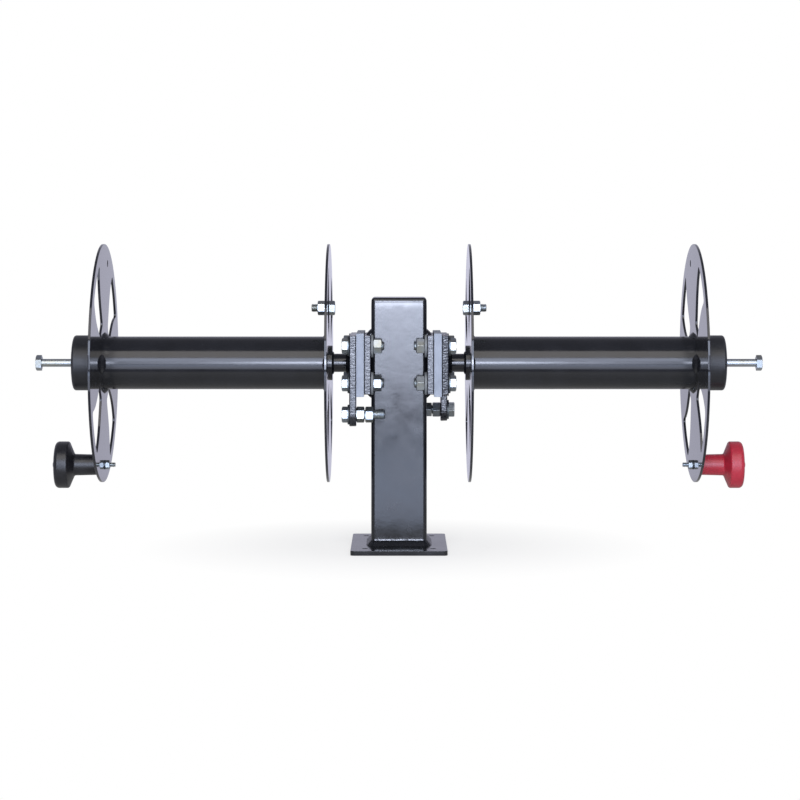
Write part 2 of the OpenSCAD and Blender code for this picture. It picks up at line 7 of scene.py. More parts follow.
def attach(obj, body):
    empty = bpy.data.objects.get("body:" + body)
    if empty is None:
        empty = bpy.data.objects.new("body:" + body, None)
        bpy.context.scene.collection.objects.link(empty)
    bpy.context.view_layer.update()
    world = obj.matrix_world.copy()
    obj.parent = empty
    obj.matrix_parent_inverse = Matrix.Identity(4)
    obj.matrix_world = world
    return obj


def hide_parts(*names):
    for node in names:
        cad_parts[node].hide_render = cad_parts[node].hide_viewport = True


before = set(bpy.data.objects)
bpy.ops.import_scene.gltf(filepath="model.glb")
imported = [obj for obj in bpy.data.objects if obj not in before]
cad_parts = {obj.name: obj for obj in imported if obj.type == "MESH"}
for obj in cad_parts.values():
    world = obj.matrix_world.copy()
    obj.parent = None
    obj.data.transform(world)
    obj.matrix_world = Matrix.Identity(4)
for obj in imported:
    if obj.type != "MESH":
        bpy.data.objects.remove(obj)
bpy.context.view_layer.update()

scene = bpy.context.scene
scene.view_settings.view_transform = "Standard"
mm = 0.001
axisHeight = 254.5  # mm, the reels' axis above the floor
sides = {"left": -1, "right": 1}


# level camera a little above the reels, with its lens shifted down as on a product shot
camera = {"stand": (0.0, -3.400, 0.4105), "lens": 110.48, "sensor": 36, "shift": (0.00125, -0.18725)}
cameraData = bpy.data.cameras.new("camera")
cameraData.lens = camera["lens"]
cameraData.sensor_width = camera["sensor"]
cameraData.shift_x, cameraData.shift_y = camera["shift"]
cameraObject = bpy.data.objects.new("camera", cameraData)
cameraObject.location = camera["stand"]
cameraObject.rotation_euler = (pi / 2, 0, 0)
scene.collection.objects.link(cameraObject)
scene.camera = cameraObject
print("camera placed")


# sRGB hex to linear
def hexColour(code):
    parts = [int(code[i:i + 2], 16) / 255 for i in (1, 3, 5)]
    return [c / 12.92 if c <= 0.04045 else ((c + 0.055) / 1.055) ** 2.4 for c in parts] + [1.0]


# inputs are named, or listed in the sockets' order; a node stands for its first output, a string for a colour
def addNode(tree, kind, settings=None, inputs=()):
    node = tree.nodes.new("ShaderNode" + kind)
    for name, value in (settings or {}).items():
        setattr(node, name, value)
    for name, value in inputs.items() if isinstance(inputs, dict) else enumerate(inputs):
        if isinstance(value, bpy.types.Node):
            value = value.outputs[0]
        if isinstance(value, bpy.types.NodeSocket):
            tree.links.new(value, node.inputs[name])
        else:
            node.inputs[name].default_value = hexColour(value) if isinstance(value, str) else value
    return node


colourMix = {"data_type": "RGBA"}  # socket 0 is the share, 6 and 7 are the colours, output 2 is the mixture
multiply = {"operation": "MULTIPLY"}
multiplyAdd = {"operation": "MULTIPLY_ADD"}
larger = {"operation": "MAXIMUM"}
resinIor = 1.5  # typical of enamel, laminate, vinyl and phenolic alike


# makes a noise texture for each pattern from its detail and roughness; its size, or three sizes along X, Y
# and Z, is among the material's values, in mm
def newMaterial(values, **patterns):
    material = bpy.data.materials.new(values["name"])
    material.use_nodes = True
    tree = material.node_tree
    tree.nodes.clear()
    textures = []
    for name, (detail, rough) in patterns.items():
        size = values[name + "Size"]
        scale = [1 / (s * mm) for s in (size if isinstance(size, tuple) else (size,) * 3)]
        place = addNode(tree, "TexCoord").outputs["Object"]
        drawn = addNode(tree, "Mapping", None, {"Vector": place, "Scale": scale})
        textures.append(addNode(tree, "TexNoise", None, {"Vector": drawn, "Scale": 1.0, "Detail": detail,
                                                         "Roughness": rough}))
    return material, tree, textures


# relief is the bump's strength and its depth in mm; sway is a gentler bump below it
def finishMaterial(tree, values, colour, rough, height, sway=None, **sockets):
    strength, depth = values["relief"]
    dents = {"Height": height, "Strength": strength, "Distance": depth * mm}
    if sway:
        dents["Normal"] = sway
    bump = addNode(tree, "Bump", None, dents)
    inputs = {"Base Color": colour.outputs[2], "Roughness": rough, "Normal": bump, **sockets}
    addNode(tree, "OutputMaterial", None, [addNode(tree, "BsdfPrincipled", None, inputs)])


# gloss enamel sprayed on welded steel: deep black, a faint orange peel, hazy patches and a few dust nibs
def sprayedEnamel(values):
    material, tree, (haze, nibs, peel, wave) = newMaterial(
        values, haze=(4.0, 0.62), nib=(2.0, 0.5), peel=(1.5, 0.5), wave=(2.0, 0.5))
    rough = addNode(tree, "MapRange", None, [haze, 0.32, 0.68, *values["rough"]])
    cloud = addNode(tree, "MapRange", None, [haze, 0.4, 0.75])
    coat = addNode(tree, "Mix", colourMix, {0: cloud, 6: values["colour"], 7: values["cloud"]})
    speck = addNode(tree, "MapRange", None, [nibs, 0.7, 0.8])
    dusted = addNode(tree, "Mix", colourMix, {0: speck, 6: coat.outputs[2], 7: values["dust"]})
    height = addNode(tree, "Math", multiplyAdd, [speck, 0.6, peel])
    sway = addNode(tree, "Bump", None, {"Height": wave, "Strength": 1.0,
                                        "Distance": values["waveDepth"] * mm})
    finishMaterial(tree, values, dusted, rough, height, sway, IOR=resinIor)
    return material


# steel plate, flame cut and then sprayed black: glossy faces, and edges whose torch ribs break the shine up
def flameCutEnamel(values):
    material, tree, (ribs, grit) = newMaterial(values, rib=(2.0, 0.6), grit=(3.0, 0.7))
    facing = addNode(tree, "SeparateXYZ", None, [addNode(tree, "TexCoord").outputs["Normal"]])
    across = addNode(tree, "Math", {"operation": "ABSOLUTE"}, [facing.outputs["X"]])
    edge = addNode(tree, "MapRange", None, [across, 0.7, 0.3])
    patch = addNode(tree, "MapRange", None, [grit, 0.4, 0.72])
    colour = addNode(tree, "Mix", colourMix, {0: patch, 6: values["colour"], 7: values["worn"]})
    rough = addNode(tree, "MapRange", None, [grit, 0.3, 0.7, *values["rough"]])
    ribbed = addNode(tree, "Math", multiply, [ribs, edge])
    height = addNode(tree, "Math", multiplyAdd, [grit, 0.35, ribbed])
    finishMaterial(tree, values, colour, rough, height, IOR=resinIor)
    return material


# sawn laminate board: pale, even, dry, with a fine woven ply that shows as faint lines along the cut edge
def laminateBoard(values):
    material, tree, (ply, stain, weave) = newMaterial(
        values, ply=(2.0, 0.5), stain=(4.0, 0.5), weave=(2.0, 0.5))
    shade = addNode(tree, "Math", multiplyAdd, [ply, 0.5, stain])
    mixed = addNode(tree, "MapRange", None, [shade, 0.55, 0.95])
    colour = addNode(tree, "Mix", colourMix, {0: mixed, 6: values["colour"], 7: values["shade"]})
    rough = addNode(tree, "MapRange", None, [stain, 0.0, 1.0, *values["rough"]])
    finishMaterial(tree, values, colour, rough, weave, IOR=resinIor)
    return material


# bright zinc plate on cold-headed steel: silvery, softly grainy, its blue passive film drifting to straw
def brightZinc(values):
    material, tree, (film, grain) = newMaterial(values, film=(3.0, 0.5), grain=(3.0, 0.65))
    drift = addNode(tree, "MapRange", None, [film, 0.42, 0.68])
    colour = addNode(tree, "Mix", colourMix, {0: drift, 6: values["colour"], 7: values["straw"]})
    rough = addNode(tree, "MapRange", None, [grain, 0.3, 0.7, *values["rough"]])
    finishMaterial(tree, values, colour, rough, grain, Metallic=1.0)
    return material


# plastics with a moulded or dipped skin: even colour, soft sheen, handling haze and a fine texture
def mouldedPlastic(values):
    material, tree, (haze, skin) = newMaterial(values, haze=(4.0, 0.6), skin=(2.0, 0.5))
    cloud = addNode(tree, "MapRange", None, [haze, 0.35, 0.7])
    colour = addNode(tree, "Mix", colourMix, {0: cloud, 6: values["colour"], 7: values["cloud"]})
    rough = addNode(tree, "MapRange", None, [haze, 0.3, 0.7, *values["rough"]])
    finishMaterial(tree, values, colour, rough, skin, IOR=resinIor)
    return material


# turned bar: fine rings left by the lathe tool round the reel axis, under a film of oil
def turnedMetal(values):
    material, tree, (rings, oil) = newMaterial(values, ring=(2.0, 0.5), oil=(4.0, 0.5))
    colour = addNode(tree, "Mix", colourMix, {0: oil, 6: values["colour"], 7: values["oil"]})
    rough = addNode(tree, "MapRange", None, [rings, 0.0, 1.0, *values["rough"]])
    finishMaterial(tree, values, colour, rough, rings, Metallic=1.0)
    return material


# orange peel is really about 1 mm across; it is drawn a little coarser so that it shows
peeled = {"nibSize": 1.6, "peelSize": 2.4, "relief": (0.22, 0.06)}
postEnamel = sprayedEnamel({
    **peeled, "name": "sprayedBlackEnamel", "colour": "#17181b", "cloud": "#1d1e22", "dust": "#34353a",
    "rough": (0.12, 0.18), "hazeSize": 38, "waveSize": 30, "waveDepth": 0.02})
# the post's thicker coat sagged a little, so that its reflections are softly mottled
tubeEnamel = sprayedEnamel({
    **peeled, "name": "sprayedBlackEnamelOnTube", "colour": "#17181b", "cloud": "#1f2024", "dust": "#3a3b41",
    "rough": (0.10, 0.18), "hazeSize": 30, "waveSize": 15, "waveDepth": 0.08})
# the discs' coat lies thin and flat on sheet, so that they mirror the room
discEnamel = sprayedEnamel({
    "name": "sprayedBlackEnamelOnSheet", "colour": "#1a1b1f", "cloud": "#212228", "dust": "#3a3b42",
    "rough": (0.04, 0.10), "hazeSize": 55, "nibSize": 1.4, "peelSize": 3.5, "relief": (0.05, 0.04),
    "waveSize": 40, "waveDepth": 0.01})
plateEnamel = flameCutEnamel({
    "name": "blackEnamelOnFlameCutPlate", "colour": "#1a1b1f", "worn": "#2b2d34", "ribSize": (9, 1.8, 1.8),
    "gritSize": 1.5, "relief": (0.8, 0.30), "rough": (0.07, 0.18)})
woven = {"weaveSize": 0.9, "relief": (0.3, 0.06)}
board = laminateBoard({
    **woven, "name": "sawnLaminateBoard", "colour": "#9299a5", "shade": "#868d99", "plySize": (1.6, 40, 40),
    "stainSize": 24, "rough": (0.45, 0.62)})
# pressed fibre washers are the same kind of sheet, darker and with no gloss
fibre = laminateBoard({
    **woven, "name": "pressedFibreSheet", "colour": "#75787a", "shade": "#686b6c", "plySize": (1.2, 40, 40),
    "stainSize": 15, "rough": (0.5, 0.66)})
plated = {"filmSize": 16, "grainSize": 1.2}
zinc = brightZinc({**plated, "name": "brightZincPlate", "colour": "#adb5bb", "straw": "#a9aba2",
                   "relief": (0.25, 0.04), "rough": (0.31, 0.45)})
# barrel-plated washers lose their shine and look blurred; their darker colour is painted shade, standing in
# for the dark look of the washers' rims
shadedDullZinc = brightZinc({**plated, "name": "barrelPlatedZincPaintedShade", "colour": "#6d757b", "straw": "#676a66",
                       "relief": (0.25, 0.06), "rough": (0.40, 0.55)})
capVinyl = mouldedPlastic({"name": "dippedBlackVinyl", "colour": "#18191c", "cloud": "#222327",
                           "hazeSize": 22, "skinSize": 1.5, "relief": (0.15, 0.05), "rough": (0.34, 0.48)})
phenolic = {"hazeSize": 18, "skinSize": 1.2, "relief": (0.12, 0.04)}
blackKnob = mouldedPlastic({**phenolic, "name": "mouldedBlackPhenolic", "colour": "#18181b",
                            "cloud": "#212124", "rough": (0.26, 0.40)})
redKnob = mouldedPlastic({**phenolic, "name": "mouldedRedPhenolic", "colour": "#a12131",
                          "cloud": "#ac2a3b", "rough": (0.28, 0.42)})
oiled = {"oilSize": 18, "relief": (0.3, 0.03)}
bronze = turnedMetal({**oiled, "name": "turnedBearingBronze", "colour": "#b08a54", "oil": "#8c6a3a",
                      "ringSize": (0.5, 30, 30), "rough": (0.22, 0.36)})
barSteel = turnedMetal({**oiled, "name": "turnedBarSteel", "colour": "#8f9296", "oil": "#6f7276",
                        "ringSize": (0.6, 30, 30), "rough": (0.24, 0.40)})
print("materials made")


# meshes are drawn in millimetres along Z, then set on the reel axis: X goes to Y, Y to Z and Z to X
def onAxis(x, y=0.0, z=0.0):
    return Matrix(((0, 0, 1, x), (1, 0, 0, y), (0, 1, 0, axisHeight + z), (0, 0, 0, 1)))


# the left reel is the right one mirrored
def reelPlace(side, x, y=0.0, z=0.0):
    return Matrix.Diagonal((side * mm, mm, mm, 1)) @ onAxis(x, y, z)


# the left clamp stack is the right one turned round
def stackPlace(side, x, y=0.0, z=0.0):
    turn = Matrix.Rotation(0 if side > 0 else pi, 4, "Z")
    return Matrix.Scale(mm, 4) @ turn @ onAxis(x, y, z)


def standPlace(z=0.0):
    return Matrix.Scale(mm, 4) @ Matrix.Translation((0, 0, z))


creaseAngle = radians(34)  # edges sharper than this stay sharp


def makePiece(name, mesh, material, body, slot, *nodes):
    bmesh.ops.recalc_face_normals(mesh, faces=mesh.faces)
    for face in mesh.faces:
        face.smooth = True
    for edge in mesh.edges:
        edge.smooth = edge.calc_face_angle(0.0) < creaseAngle
    data = bpy.data.meshes.new(name)
    mesh.to_mesh(data)
    mesh.free()
    data.materials.append(material)
    piece = bpy.data.objects.new(name, data)
    scene.collection.objects.link(piece)
    weighted = piece.modifiers.new("evenNormals", "WEIGHTED_NORMAL")
    weighted.keep_sharp = True
    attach(piece, body)
    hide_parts(*nodes)


# corners are (x, y, radius), and a radius of 0 stays sharp
def roundCorners(points, steps=5):
    out = []
    for i, (x, y, radius) in enumerate(points):
        here = Vector((x, y))
        if radius <= 0:
            out.append(here)
            continue
        before = (Vector(points[i - 1][:2]) - here).normalized()
        after = (Vector(points[(i + 1) % len(points)][:2]) - here).normalized()
        half = before.angle(after) / 2
        centre = here + (before + after).normalized() * (radius / sin(half))
        start = here + before * (radius / tan(half)) - centre
        end = here + after * (radius / tan(half)) - centre
        turn = atan2(start.x * end.y - start.y * end.x, start.dot(end))
        out += [centre + Matrix.Rotation(turn * k / steps, 2) @ start for k in range(steps + 1)]
    return out


def arc(centre, radius, start, end, steps):
    angles = [radians(start + (end - start) * i / steps) for i in range(steps + 1)]
    return [Vector((centre[0] + radius * cos(a), centre[1] + radius * sin(a))) for a in angles]


def polar(radius, angle):
    return radius * cos(radians(angle)), radius * sin(radians(angle))


def rectangle(width, depth, corner, steps=6):
    w, d = width / 2, depth / 2
    return roundCorners([(-w, -d, corner), (w, -d, corner), (w, d, corner), (-w, d, corner)], steps)


# a hole's loop runs clockwise, so that the plate is on its left
def holeLoop(centre, diameter, count=40):
    return arc(centre, diameter / 2, 0, 360, count)[:-1][::-1]


def resample(loop, step):
    out = []
    for i, here in enumerate(loop):
        ahead = loop[(i + 1) % len(loop)]
        parts = max(1, ceil((ahead - here).length / step))
        out += [here.lerp(ahead, k / parts) for k in range(parts)]
    return out


# rings of (radius, height) pairs, one pair for each angle; a ring of one pair is a pole
def addRings(mesh, rings, angles, place, closed=False):
    rows = []
    for ring in rings:
        if len(ring) == 1:
            rows.append([mesh.verts.new(place @ Vector((0, 0, ring[0][1])))])
        else:
            rows.append([mesh.verts.new(place @ Vector((r * cos(a), r * sin(a), w)))
                         for (r, w), a in zip(ring, angles)])
    count = len(angles)
    for low, high in zip(rows, rows[1:] + (rows[:1] if closed else [])):
        for i in range(count):
            j = (i + 1) % count
            corners = [low[i % len(low)], low[j % len(low)], high[j % len(high)], high[i % len(high)]]
            mesh.faces.new(list(dict.fromkeys(corners)))


def addLathe(mesh, profile, place, segments, closed=True):
    angles = [2 * pi * i / segments for i in range(segments)]
    rings = [[(max(r, 0.0), w)] * (1 if r < 1e-6 else segments) for r, w in profile]
    addRings(mesh, rings, angles, place, closed)


edgeSteps = (0, 30, 60, 90)  # degrees round a plate's rounded edge
mitreLimit = 0.5  # keeps a sharp corner from running away when its loop is drawn in


# flat plate from an outline and its holes, with round edges below and above; roughCut gives a torn wall
def addPlate(mesh, loops, thickness, edges, place, roughCut=None, rows=1, holeEdge=1.0):
    low, high = edges
    levels = [(low * (1 - sin(radians(a))), low * (1 - cos(radians(a)))) for a in edgeSteps]
    span = thickness - low - high
    levels += [(0.0, low + span * i / rows) for i in range(1, rows)]
    levels += [(high * (1 - cos(radians(a))), thickness - high * (1 - sin(radians(a)))) for a in edgeSteps]
    bottomEdges, topEdges = [], []
    for loop in loops:
        count = len(loop)
        inward, travel = [], [0.0]
        for i, here in enumerate(loop):
            back = (here - loop[i - 1]).normalized()
            ahead = (loop[(i + 1) % count] - here).normalized()
            left = Vector((-back.y - ahead.y, back.x + ahead.x)).normalized()
            inward.append(left / max(mitreLimit, left.dot(Vector((-back.y, back.x)))))
            travel.append(travel[-1] + (loop[(i + 1) % count] - here).length)
        verts = []
        share = 1.0 if loop is loops[0] else holeEdge
        for inset, height in levels:
            row = []
            for i, here in enumerate(loop):
                torn = roughCut(travel[i], height) if roughCut and 0 < height < thickness else 0.0
                spot = here + inward[i] * (inset * share + torn)
                row.append(mesh.verts.new(place @ Vector((spot.x, spot.y, height))))
            verts.append(row)
        for lower, upper in zip(verts, verts[1:]):
            for i in range(count):
                j = (i + 1) % count
                mesh.faces.new((lower[i], lower[j], upper[j], upper[i]))
        bottomEdges += [mesh.edges.get((verts[0][i], verts[0][(i + 1) % count])) for i in range(count)]
        topEdges += [mesh.edges.get((verts[-1][i], verts[-1][(i + 1) % count])) for i in range(count)]
    for rim in (bottomEdges, topEdges):
        bmesh.ops.triangle_fill(mesh, use_beauty=True, use_dissolve=False, edges=rim)


# hexagon with its corners turned off: a cold-headed bolt's head or, with a bore, a nut; spin turns it
hexForm = {"chamfer": 30, "cornerCut": 0.0525, "faceShare": 0.96, "dish": 0.35, "dishFrom": 0.82,
           "dishTo": 0.74, "lip": 0.9, "nutGap": 0.1,
           "offsets": (0, 10, 18, 24, 27.5, 29.2, 30, 30.8, 32.5, 36, 42, 50)}


def hexRings(flats, height, spin, bore=0.0):
    turns = [60 * k + o for k in range(6) for o in hexForm["offsets"]]
    angles = [radians(t) + spin for t in turns]
    half = flats / 2
    corner = half / cos(radians(30)) - hexForm["cornerCut"]
    reach = [min(corner, half / cos(radians((t + 30) % 60 - 30))) for t in turns]
    turned = hexForm["faceShare"] * half
    slope = tan(radians(hexForm["chamfer"]))
    drop = [(r - turned) * slope for r in reach]
    count = len(turns)
    rings = [list(zip(reach, [height - d for d in drop])), [(turned, height)] * count]
    if not bore:
        sunk = height - hexForm["dish"]
        rings = [[(0, 0)], [(r, 0.0) for r in reach]] + rings
        dished = ((hexForm["dishFrom"], height), (hexForm["dishTo"], sunk))
        rings += [[(turned * share, w)] * count for share, w in dished]
        return rings + [[(0, sunk)]], angles
    lip = hexForm["lip"]
    bottom = [[(bore, lip)] * count, [(bore + lip, 0)] * count, [(turned, 0)] * count, list(zip(reach, drop))]
    return bottom + rings + [[(bore + lip, height)] * count, [(bore, height - lip)] * count], angles


def addNut(mesh, place, bolt, height, spin):
    rings, angles = hexRings(bolt["flats"], height, spin, bolt["diameter"] / 2 + hexForm["nutGap"])
    addRings(mesh, rings, angles, place, True)


# depth and run-out are shares of the pitch, the chamfer of the diameter; flank and crest shape the tooth
threadForm = {"sides": 32, "rowsPerPitch": 7, "depth": 0.5, "runOut": 1.5, "flank": 1.5, "crest": 0.4,
              "chamfer": 0.1, "neck": 0.5, "underHead": 0.8, "bury": 0.3}


# the head stands above zero and the shank hangs below; the thread is a real helix
def addBolt(mesh, place, bolt, length, threaded, spin=0.0, shank=None):
    rings, angles = hexRings(bolt["flats"], bolt["head"], spin)
    addRings(mesh, rings, angles, place)
    count, pitch, radius = threadForm["sides"], bolt["pitch"], bolt["diameter"] / 2
    angles = [2 * pi * i / count for i in range(count)]
    depth = threadForm["depth"] * pitch
    chamfer = threadForm["chamfer"] * bolt["diameter"]
    rows = ceil(threaded / (pitch / threadForm["rowsPerPitch"]))
    rings = [[(0, -length)]]
    for row in range(rows + 1):
        w = threaded * row / rows
        limit = min(radius, radius - chamfer + w)
        runOut = min(1.0, max(0.0, (threaded - w) / (threadForm["runOut"] * pitch)))
        ring = []
        for i in range(count):
            wave = abs(((w / pitch - i / count) % 1.0) * 2 - 1)
            cut = depth * runOut * min(1.0, max(0.0, threadForm["flank"] * wave - threadForm["crest"]))
            ring.append((min(limit, radius - cut), w - length))
        rings.append(ring)
    plain = shank / 2 if shank else radius
    heights = (threaded - length + threadForm["neck"], -threadForm["underHead"], threadForm["bury"])
    rings += [[(plain, w)] * count for w in heights] + [[(0, threadForm["bury"])]]
    addRings(mesh, rings, angles, place)


washerForm = {"sides": 72, "boreEdge": 0.2}


def addWasher(mesh, place, outer, bore, thickness, edge=0.4):
    profile = roundCorners([(bore / 2, 0, washerForm["boreEdge"]), (outer / 2, 0, edge),
                            (outer / 2, thickness, edge), (bore / 2, thickness, washerForm["boreEdge"])], 3)
    addLathe(mesh, profile, place, washerForm["sides"])


# weld beads: bulge, ripple depth, drift and end size are shares of the leg; lengths are in mm
beadForm = {"bulge": 0.05, "points": 12, "step": 0.5, "ripple": 2.3, "rippleDepth": 0.06, "drift": 0.05,
            "driftLength": 9.0, "endSize": 0.25, "film": 0.03, "toeSlope": 0.12, "toeUneven": 1.3,
            "toeLeast": 0.1, "toeLength": 3.0, "toeSeed": 4.0, "gap": 0.1}


# bulged, rippled fillet swept along a path of (foot, outward, up) frames; a taper of some steps gives it two
# ends, and a toe is the thin uneven film that runs up the wall above it
def addBead(mesh, path, leg, seed, taper=0, toe=0.0):
    closed = not taper
    sections = []
    travel = 0.0
    for i, (foot, outward, up) in enumerate(path):
        if i:
            travel += (foot - path[i - 1][0]).length
        wave = 2 * abs(((travel / beadForm["ripple"]) % 1.0) - 0.5)
        slow = noise.noise(Vector((travel / beadForm["driftLength"], seed, 0.0)))
        size = leg * (1 - beadForm["rippleDepth"] * wave + beadForm["drift"] * slow)
        if taper:
            grown = sin(pi / 2 * min(1.0, min(i, len(path) - 1 - i) / taper))
            size *= beadForm["endSize"] + (1 - beadForm["endSize"]) * grown
        section = [foot]
        if toe:
            uneven = noise.noise(Vector((travel / beadForm["toeLength"], seed, beadForm["toeSeed"])))
            reach = toe * max(beadForm["toeLeast"], 1 + beadForm["toeUneven"] * uneven)
            section.append(foot + outward * beadForm["film"] + up * (size + reach))
        for k in range(beadForm["points"] + 1):
            t = k / beadForm["points"]
            lift = size * beadForm["bulge"] * sin(pi * t)
            start = beadForm["film"] + beadForm["toeSlope"] * reach if toe and not k else 0.0
            section.append(foot + outward * (size * t + lift + start) + up * (size * (1 - t) + lift))
        sections.append([mesh.verts.new(p * mm) for p in section])
    count = len(sections[0])
    for first, second in zip(sections, sections[1:] + (sections[:1] if closed else [])):
        for k in range(count):
            mesh.faces.new((first[k], first[(k + 1) % count], second[(k + 1) % count], second[k]))
    if not closed:
        mesh.faces.new(sections[0])
        mesh.faces.new(sections[-1])


# path round a tube that stands on a face at x; facing is +1 where the bead lies outward of the face
def ringPath(side, x, radius, facing, start=0, span=360):
    count = ceil(radians(span) * radius / beadForm["step"])
    path = []
    for i in range(count + (span < 360)):
        a = radians(start + span * i / count)
        outward = Vector((0, cos(a), sin(a)))
        foot = Vector((side * x, 0, axisHeight)) + outward * radius
        path.append((foot, outward, Vector((side * facing, 0, 0))))
    return path


basePlate = {"width": 131, "depth": 205, "thickness": 6.35, "corner": 5, "edges": (0.5, 0.4),
             "hole": 8, "holesX": (-46, 46), "holesY": (-75, 75), "holeEdge": 0.15, "holeSides": 48}
mesh = bmesh.new()
loops = [rectangle(basePlate["width"], basePlate["depth"], basePlate["corner"])]
loops += [holeLoop((x, y), basePlate["hole"], basePlate["holeSides"])
          for x in basePlate["holesX"] for y in basePlate["holesY"]]
addPlate(mesh, loops, basePlate["thickness"], basePlate["edges"], standPlace(),
         holeEdge=basePlate["holeEdge"])
makePiece("basePlate", mesh, postEnamel, "stand", "black_paint", "base_plate")

# the cap's weld draws the top of the post in by a fraction of a millimetre, unevenly
drawIn = {"depth": 0.45, "from": 14, "uneven": 0.35, "length": 17, "seed": 5}


def drawnIn(top):
    def dent(travel, height):
        uneven = 1 + drawIn["uneven"] * noise.noise(Vector((travel / drawIn["length"], 0, drawIn["seed"])))
        near = max(0.0, 1 - (top - height) / (drawIn["from"] * uneven))
        return drawIn["depth"] * near * near
    return dent


post = {"width": 76.2, "corner": 5.5, "wall": 4.8, "boreCorner": 0.7, "top": 345.5, "edges": (0.3, 0.3),
        "step": 1.5, "rows": 150}
postCap = {"thickness": 6, "edges": (0.3, 4), "rows": 3}
postLow = basePlate["thickness"]
postHigh = post["top"] - postCap["thickness"]
outline = resample(rectangle(post["width"], post["width"], post["corner"], 12), post["step"])
bore = post["width"] - 2 * post["wall"]
mesh = bmesh.new()
inner = rectangle(bore, bore, post["boreCorner"], 3)[::-1]
addPlate(mesh, [outline, inner], postHigh - postLow, post["edges"], standPlace(postLow),
         drawnIn(post["top"] - postLow), post["rows"])
makePiece("postTube", mesh, tubeEnamel, "stand", "black_paint", "post_tube")

mesh = bmesh.new()
addPlate(mesh, [outline], postCap["thickness"], postCap["edges"], standPlace(postHigh),
         drawnIn(postCap["thickness"]), postCap["rows"])
makePiece("postCap", mesh, tubeEnamel, "stand", "black_paint", "post_cap")

footWeld = {"leg": 7.0, "seed": 1.0, "toe": 1.3}
mesh = bmesh.new()
run = resample(outline, beadForm["step"])
path = []
for i, here in enumerate(run):
    along = (run[(i + 1) % len(run)] - run[i - 1]).normalized()
    path.append((Vector((here.x, here.y, postLow)), Vector((along.y, -along.x, 0)), Vector((0, 0, 1))))
addBead(mesh, path, footWeld["leg"], footWeld["seed"], 0, footWeld["toe"])
makePiece("footWeld", mesh, postEnamel, "stand", "black_paint", "base_weld")

# along the top and the bottom of each backing plate
bracketWeld = {"leg": 7, "seed": 3.0, "taper": 8, "above": 40}
mesh = bmesh.new()
half = post["width"] / 2 - post["corner"]
count = ceil(2 * half / beadForm["step"])
for side in sides.values():
    for up in (-1, 1):
        x, z = side * post["width"] / 2, axisHeight + up * bracketWeld["above"]
        path = [(Vector((x, half - 2 * half * i / count, z)), Vector((side, 0, 0)), Vector((0, 0, up)))
                for i in range(count + 1)]
        addBead(mesh, path, bracketWeld["leg"], bracketWeld["seed"] + side + 0.4 * up, bracketWeld["taper"])
makePiece("bracketWelds", mesh, postEnamel, "stand", "black_paint", "bracket_welds")
print("stand made")


# clamp stacks of backing plate, insulator and contact plate; x is out from the post's middle
stack = {"back": 38.1, "board": 47.625, "contact": 58.125, "face": 67.65, "boltY": 55, "boltZ": 25.4,
         "sleeveHole": 16.3, "boltHole": 13.5}
steelPlate = {"size": (140, 80), "thickness": 9.525, "edges": (1.2, 1.2), "corner": 0.8, "cutStep": 0.55,
              "cutRows": 11, "cutDepth": 0.10, "coarseCut": 0.30}
insulator = {"size": (146, 86), "thickness": 10.5, "edges": (0.4, 0.4), "corner": 0.6}
ear = {"y": 54, "z": -68, "width": 32, "corner": 2.0, "steps": 28}
spindle = {"radius": 12.7, "hole": 25.6, "holeSides": 64, "weld": 5.8, "seed": 11.0}
boltSpots = [(y * stack["boltY"], z * stack["boltZ"]) for y in (-1, 1) for z in (-1, 1)]
earSpot = (ear["y"], ear["z"])

# the torch leaves ribs that run through the thickness and trail a little, and pits among them
torch = {"rib": 1.1, "ribLength": 5.0, "trail": 0.12, "pitWidth": 2.6, "pitLength": 2.2, "pitSeed": 7.0,
         "mean": 0.5, "ribShare": 0.8, "pitShare": 0.6, "backSeed": 3.1, "contactSeed": 5.3}


def torchCut(seed, depth):
    def torn(travel, height):
        along = (travel + torch["trail"] * height) / torch["rib"]
        ribs = noise.noise(Vector((along, height / torch["ribLength"], seed)))
        pits = noise.noise(Vector((travel / torch["pitWidth"], height / torch["pitLength"],
                                   seed + torch["pitSeed"])))
        return depth * max(0.0, torch["mean"] + torch["ribShare"] * ribs + torch["pitShare"] * pits)
    return torn


